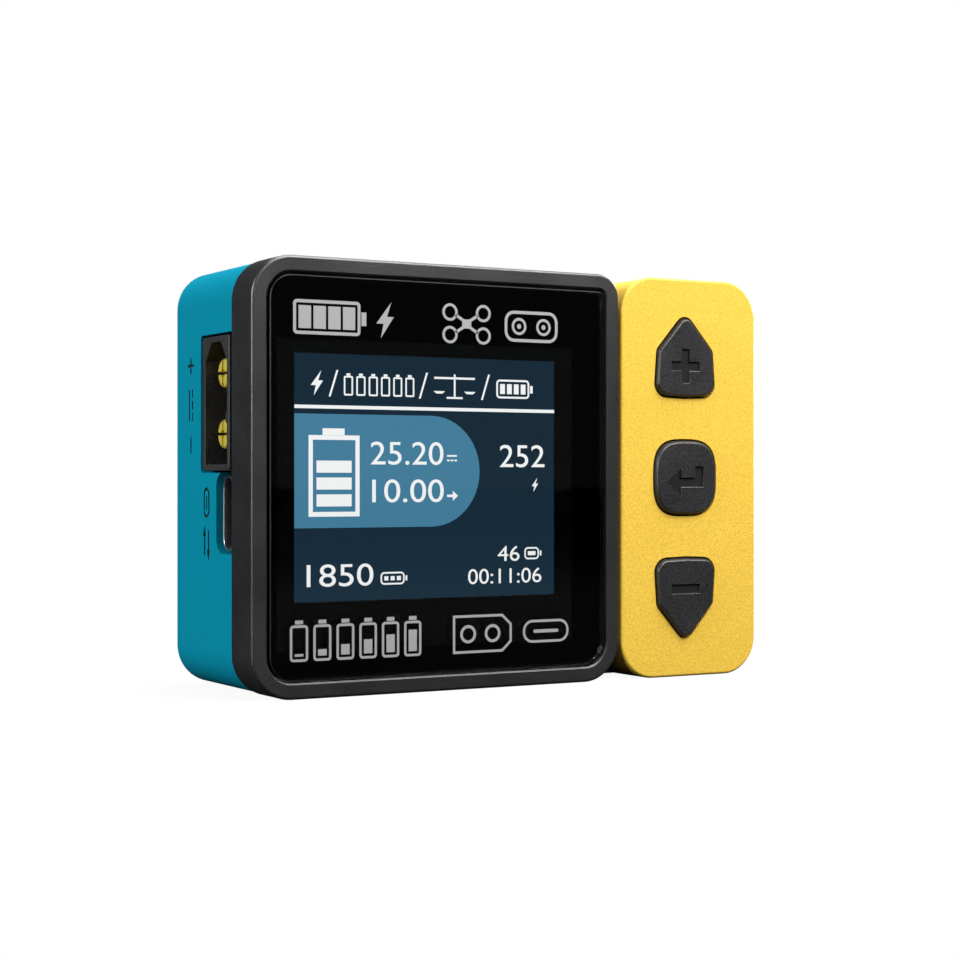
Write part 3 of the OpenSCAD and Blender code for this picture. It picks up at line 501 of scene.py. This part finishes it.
def to_mesh_piece(name, curve, place, material):
    """Turns a flat curve into a mesh that stands upright and faces the front."""
    maker = bpy.data.objects.new(name + "_maker", curve)
    bpy.context.scene.collection.objects.link(maker)
    bpy.context.view_layer.update()
    depsgraph = bpy.context.evaluated_depsgraph_get()
    mesh = bpy.data.meshes.new_from_object(maker.evaluated_get(depsgraph))
    bpy.data.objects.remove(maker)
    mesh.name = name
    mesh.transform(Matrix.Translation(place) @ Matrix.Rotation(math.radians(90), 4, "X"))
    mesh.materials.clear()
    mesh.materials.append(material)
    piece = bpy.data.objects.new(name, mesh)
    bpy.context.scene.collection.objects.link(piece)
    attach(piece, "case")
    return piece


def flat(name, loops, place, material, thickness_mm):
    """A flat piece within the loops, where a loop inside another is a hole."""
    curve = bpy.data.curves.new(name, "CURVE")
    curve.dimensions = "2D"
    curve.fill_mode = "BOTH"
    curve.extrude = thickness_mm * MM / 2
    for loop in loops:
        spline = curve.splines.new("POLY")
        spline.points.add(len(loop) - 1)
        for point, (x, z) in zip(spline.points, loop):
            point.co = (x * MM, z * MM, 0, 1)
        spline.use_cyclic_u = True
    return to_mesh_piece(name, curve, place, material)


def digits(name, text, width_mm, height_mm, place, material):
    """A number of that width and height, with its lower left corner at place."""
    curve = bpy.data.curves.new(name, "FONT")
    curve.body = text
    curve.size = height_mm * MM
    curve.extrude = LIT_THICKNESS_MM / 2 * MM
    mesh = to_mesh_piece(name, curve, (0, 0, 0), material).data
    across = [vertex.co.x for vertex in mesh.vertices]
    upwards = [vertex.co.z for vertex in mesh.vertices]
    to_origin = Matrix.Translation((-min(across), 0, -min(upwards)))
    stretch = Matrix.Diagonal((width_mm * MM / (max(across) - min(across)), 1,
                               height_mm * MM / (max(upwards) - min(upwards)), 1))
    mesh.transform(Matrix.Translation(place) @ stretch @ to_origin)


def rect(x0, z0, x1, z1):
    """Loop of a box from its lower left to its upper right corner."""
    return [(x0, z0), (x1, z0), (x1, z1), (x0, z1)]


def arc(cx, cz, r, start, end, steps=8):
    """Points of an arc round (cx, cz), from one angle to another in degrees."""
    turns = [math.radians(start + (end - start) * i / steps) for i in range(steps + 1)]
    return [(cx + r * math.cos(a), cz + r * math.sin(a)) for a in turns]


def ring(cx, cz, r):
    """Loop of a whole circle."""
    sides = 24
    return arc(cx, cz, r, 0, 360 - 360 / sides, sides - 1)


def hoop(cx, cz, outer_r, inner_r):
    """Loops of a flat ring."""
    return [ring(cx, cz, outer_r), ring(cx, cz, inner_r)]


def rounded(x0, z0, x1, z1, r):
    """Loop of a box with rounded corners."""
    return (arc(x1 - r, z0 + r, r, -90, 0) + arc(x1 - r, z1 - r, r, 0, 90)
            + arc(x0 + r, z1 - r, r, 90, 180) + arc(x0 + r, z0 + r, r, 180, 270))


def framed(x0, z0, x1, z1, line, r):
    """Outline of a rounded box, line wide."""
    inner = max(r - line, 0.05)
    return [rounded(x0, z0, x1, z1, r),
            rounded(x0 + line, z0 + line, x1 - line, z1 - line, inner)]


def moved(loops, dx, dz, scale=1.0):
    """The loops scaled about their origin and then moved."""
    return [[(x * scale + dx, z * scale + dz) for x, z in loop] for loop in loops]


def shrunk(loop, line):
    """The loop (anticlockwise) moved inwards by line, with mitred corners."""
    least_cosine = 0.3  # stops the mitre of a sharp corner from running away
    count = len(loop)
    result = []
    for i in range(count):
        before, here, after = (Vector(loop[(i + k) % count]) for k in (-1, 0, 1))
        a = (here - before).normalized()
        b = (after - here).normalized()
        normal_a = Vector((-a.y, a.x))
        normal_b = Vector((-b.y, b.x))
        corner = (normal_a + normal_b).normalized()
        result.append(tuple(here + corner * line / max(corner.dot(normal_a), least_cosine)))
    return result


BOLT = [(0.9, 0), (3.0, 3.1), (1.9, 3.1), (2.6, 5.2), (0.2, 2.1), (1.35, 2.1)]
BOLT_HEIGHT = 5.2


def bolt(dx, dz, height):
    """Lightning sign, height tall."""
    return moved([BOLT], dx, dz, height / BOLT_HEIGHT)


def lying_battery(w, h, line, bars):
    """Battery sign lying down: frame, terminal and charge bars."""
    corner_r = 0.5
    gap = 0.3
    tip_x = w + 0.12
    tip = 0.16 * h
    loops = framed(0, 0, w, h, line, corner_r)
    loops.append(rect(tip_x, 0.3 * h, tip_x + tip, 0.7 * h))
    room = w - 2 * line - gap
    for i in range(bars):
        x = line + gap + i * room / bars
        loops.append(rect(x, line + gap, x + room / bars - gap, h - line - gap))
    return loops


def standing_cell(x, z, w, h, line, r, tip):
    """Small upright cell: frame, and a terminal given as inset, gap and height."""
    inset, gap, tip_h = tip
    tip_z = z + h + gap
    return framed(x, z, x + w, z + h, line, r) + [rect(x + inset, tip_z, x + w - inset,
                                                       tip_z + tip_h)]


def slash(x, z):
    """Leaning stroke between two signs."""
    width, lean, height = 0.25, 1.0, 3.1
    return [(x, z), (x + width, z), (x + width + lean, z + height), (x + lean, z + height)]


def scales(cx, z):
    """Balance scales: a beam with its pivot, a column, a foot and two pans."""
    line, gap = 0.25, 0.02
    beam_half, column_half, foot_half, pan_x = 2.8, 0.12, 1.1, 2.1
    pan_z, beam_z, pivot_z = z + 0.6, z + 2.35, z + 2.95
    left, right = cx - column_half, cx + column_half
    beam = [(cx - beam_half, beam_z), (cx + beam_half, beam_z),
            (cx + beam_half, beam_z + line), (right, beam_z + line), (right, pivot_z),
            (left, pivot_z), (left, beam_z + line), (cx - beam_half, beam_z + line)]
    column = rect(left, z + line, right, beam_z - gap)
    foot = rect(cx - foot_half, z, cx + foot_half, z + line - gap)
    pan = [(-0.8, pan_z + 0.3), (-0.4, pan_z), (0.4, pan_z), (0.8, pan_z + 0.3)]
    return [beam, column, foot] + moved([pan], cx - pan_x, 0) + moved([pan], cx + pan_x, 0)


def drone_arms(cx, cz):
    """Cross of four arms with a square hub."""
    reach_x, reach_z, half, hub = 1.52, 0.92, 0.17, 0.62
    quarter = [(hub, 0.3), (reach_x + half, reach_z), (reach_x - half, reach_z + half * 1.4),
               (0.35, 0.55)]
    points = []
    for sx, sz in ((1, 1), (-1, 1), (-1, -1), (1, -1)):
        part = quarter if sx * sz > 0 else quarter[::-1]
        points += [(cx + sx * x, cz + sz * z) for x, z in part]
    return points


# ---- Cover glass, its prints and the display --------------------------------

glass_lo, glass_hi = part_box("display_glass")
lcd_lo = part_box("lcd_panel")[0]
SCREEN_W = 35.2
SCREEN_H = 28.75
screen = lcd_lo + Vector((1.8 * MM, 0, 5.1 * MM))

# The display's shapes lie in layers, the later ones nearer to the front.
LAYER = 0.03 * MM
GROUND_LAYER, PILL_LAYER, SIGN_LAYER = 1, 2, 3
SCREEN_NAVY = light_material("screen_navy", (0.0125, 0.034, 0.058), (0.0085, 0.024, 0.042))
SCREEN_BLUE = light_material("screen_blue", (0.058, 0.2, 0.32), (0.064, 0.225, 0.36))
SCREEN_WHITE = light_material("screen_white", (0.9, 0.9, 0.9), (1, 1, 1))

# Numbers on the display: text, width, height, and place of the lower left corner
NUMBERS = {
    "screen_volts": ("25.20", 9.75, 2.72, (9.8, 15.9)),
    "screen_amps": ("10.00", 9.6, 2.72, (10, 11.45)),
    "screen_watts": ("252", 6.4, 2.74, (27.4, 15.65)),
    "screen_charge": ("1850", 8.6, 2.6, (1.55, 1.71)),
    "screen_energy": ("46", 3.1, 1.85, (27.1, 4.2)),
    "screen_time": ("00:11:06", 10.4, 1.82, (22.95, 1.5)),
}


def on_screen(x, z, layer):
    """A place on the display, in millimetres from its lower left corner."""
    return screen + Vector((x * MM, -LAYER * layer, z * MM))


def lit(name, loops, material=SCREEN_WHITE, layer=SIGN_LAYER):
    """A lit shape on the display."""
    flat(name, loops, on_screen(0, 0, layer), material, LIT_THICKNESS_MM)


def make_readings():
    """The display's ground, a pill with a battery, and numbers with their signs."""
    lit("screen_ground", [rect(0, 0, SCREEN_W, SCREEN_H)], SCREEN_NAVY, GROUND_LAYER)
    pill_r, pill_end, pill_z = 6.62, 17.95, 15.15
    pill = ([(0, pill_z - pill_r)] + arc(pill_end, pill_z, pill_r, -90, 90, 24)
            + [(0, pill_z + pill_r)])
    lit("screen_pill", [pill], SCREEN_BLUE, PILL_LAYER)
    lit("screen_rule", [rect(0, 22.38, SCREEN_W, 22.78)])

    # Battery in the pill: outline, terminal and three bars
    lit("screen_battery", [rect(1.79, 9.85, 8.35, 19.3), rect(2.33, 10.4, 7.81, 18.76),
                           rect(3.57, 19.32, 6.4, 20.1)])
    bar_pitch = 1.96
    for i in range(3):
        bar_z = 11.03 + i * bar_pitch
        lit(f"screen_bar_{i + 1}", [rect(2.8, bar_z, 7.31, bar_z + 1.4)])

    for name, (number, width, height, corner) in NUMBERS.items():
        digits(name, number, width, height, on_screen(*corner, SIGN_LAYER), SCREEN_WHITE)

    # Signs in the units' places: direct current, flow, power, charge, energy
    dash_pitch = 0.5
    lit("screen_volt_sign", [rect(20.05, 16.9, 21.4, 17.1)]
        + [rect(20.05 + shift, 16.35, 20.4 + shift, 16.55)
           for shift in (0, dash_pitch, 2 * dash_pitch)])
    arrow = [(20.05, 12.05), (20.85, 12.05), (20.85, 11.6), (21.55, 12.2), (20.85, 12.8),
             (20.85, 12.35), (20.05, 12.35)]
    lit("screen_amp_sign", [arrow])
    lit("screen_watt_sign", bolt(31.9, 12.65, 1.7))
    lit("screen_charge_sign", moved(lying_battery(3.2, 1.5, 0.2, 3), 11.1, 1.75))
    lit("screen_energy_sign", moved(lying_battery(2.1, 1.5, 0.2, 1), 30.9, 4.35))


def make_header():
    """The display's header: power in, six cells, balance, charge."""
    head_z = 23.8
    cell_x, cell_z, cell_pitch = 6.3, 23.95, 1.62
    lit("screen_head_bolt", bolt(1.95, head_z + 0.1, 2.9))
    lit("screen_head_slash_1", [slash(4.35, head_z)])
    for i in range(6):
        lit(f"screen_head_cell_{i + 1}",
            standing_cell(cell_x + i * cell_pitch, cell_z, 1.2, 2.3, 0.2, 0.2, (0.35, 0.02, 0.28)))
    lit("screen_head_slash_2", [slash(16.2, head_z)])
    lit("screen_head_scales", scales(21.1, head_z + 0.05))
    lit("screen_head_slash_3", [slash(24.75, head_z)])
    lit("screen_head_battery", moved(lying_battery(4.7, 2.3, 0.24, 4), 26.9, head_z + 0.25))


def make_glass():
    """The cover glass with a ground front edge, and the black border behind it."""
    grind_mm = 0.12
    smooth_below = 20  # degrees between two faces
    border_inset, border_r, window_margin = 0.06, 2.9, 0.12
    border_thickness = 0.02
    front = glass_lo.y

    def grind_edge(shape):
        def at_front(vert):
            return abs(vert.co.y - front) < 0.01 * MM

        edges = [e for e in shape.edges if all(at_front(v) for v in e.verts)
                 and not all(f.normal.y < -0.9 for f in e.link_faces)]
        bmesh.ops.bevel(shape, geom=edges, offset=grind_mm * MM, segments=1, affect="EDGES",
                        material=1)

    glass = copy_of("display_glass")
    glass.data.materials.append(GROUND_GLASS)
    clean_mesh(glass.data, grind_edge, smooth_below)
    width = (glass_hi.x - glass_lo.x) / MM
    height = (glass_hi.z - glass_lo.z) / MM
    window_x = (screen.x - glass_lo.x) / MM
    window_z = (screen.z - glass_lo.z) / MM
    border = [rounded(border_inset, border_inset, width - border_inset,
                      height - border_inset, border_r),
              rect(window_x - window_margin, window_z - window_margin,
                   window_x + SCREEN_W + window_margin, window_z + SCREEN_H + window_margin)]
    back = Vector((glass_lo.x, glass_hi.y + 0.03 * MM, glass_lo.z))
    flat("glass_border_print", border, back, BLACK_INK, border_thickness)


def make_prints():
    """Generic silver signs on the glass, above and below the display."""
    thickness = 0.015
    line, thin_line = 0.38, 0.3
    above, below = SCREEN_H + 2.1, -6.75
    face = Vector((screen.x, glass_lo.y - 0.01 * MM, screen.z))

    def print_on(name, loops):
        flat(name, loops, face, SILVER_INK, thickness)

    # Above, left: a charging battery
    print_on("print_battery", moved(lying_battery(8.6, 4, line, 4), -0.55, above))
    print_on("print_bolt", bolt(9.95, above - 0.15, 4.3))

    # Above, right: a model aircraft with its four rotors, and a remote control
    drone_x, drone_z = 22.3, above + 2
    rotors = []
    for sx in (-1, 1):
        for sz in (-1, 1):
            rotors += hoop(drone_x + sx * 2.3, drone_z + sz * 1.35, 1.05, 0.72)
    print_on("print_rotors", rotors)
    print_on("print_arms", [drone_arms(drone_x, drone_z)])
    remote = framed(27.6, above + 0.1, 35.2, above + 3.9, line, 1.3)
    for x in (29.65, 33.15):
        remote += hoop(x, above + 2, 1.05, 0.72) + [ring(x, above + 2, 0.3)]
    print_on("print_remote", remote)

    # Below, left: six cells, each fuller than the one before
    cell_x, cell_pitch = -0.95, 2.95
    for i in range(6):
        x = cell_x + i * cell_pitch
        charge = rect(x + 0.6, below + 0.6, x + 1.7, below + 0.9 + i * 0.45)
        print_on(f"print_cell_{i + 1}",
                 standing_cell(x, below, 2.3, 4.2, thin_line, 0.45, (0.65, 0.1, 0.45)) + [charge])

    # Below, right: power contacts and the small port
    plug = [(20.4, below), (27.3, below), (28.6, below + 1.2), (28.6, below + 3.4),
            (27.3, below + 4.6), (20.4, below + 4.6)]
    print_on("print_contacts", [plug, shrunk(plug, thin_line)]
             + hoop(22.5, below + 2.3, 1.1, 0.75) + hoop(25.9, below + 2.3, 1.1, 0.75))
    print_on("print_port", framed(30.2, below + 0.9, 36.8, below + 3.7, thin_line, 1.35)
             + [rounded(31.7, below + 2.1, 35.3, below + 2.5, 0.18)])


# ---- Putting it together ----------------------------------------------------

make_camera()
make_world()
make_lights()
make_floor()
bpy.context.scene.view_settings.view_transform = "Standard"

finish_cad_nodes()
shade_side_marks()
make_glass()
make_readings()
make_header()
make_prints()
for name in ("up_button", "enter_button", "down_button"):
    make_button(name)
soften("input_connector_housing", 0.1)
soften("usb_port_shell", 0.05)
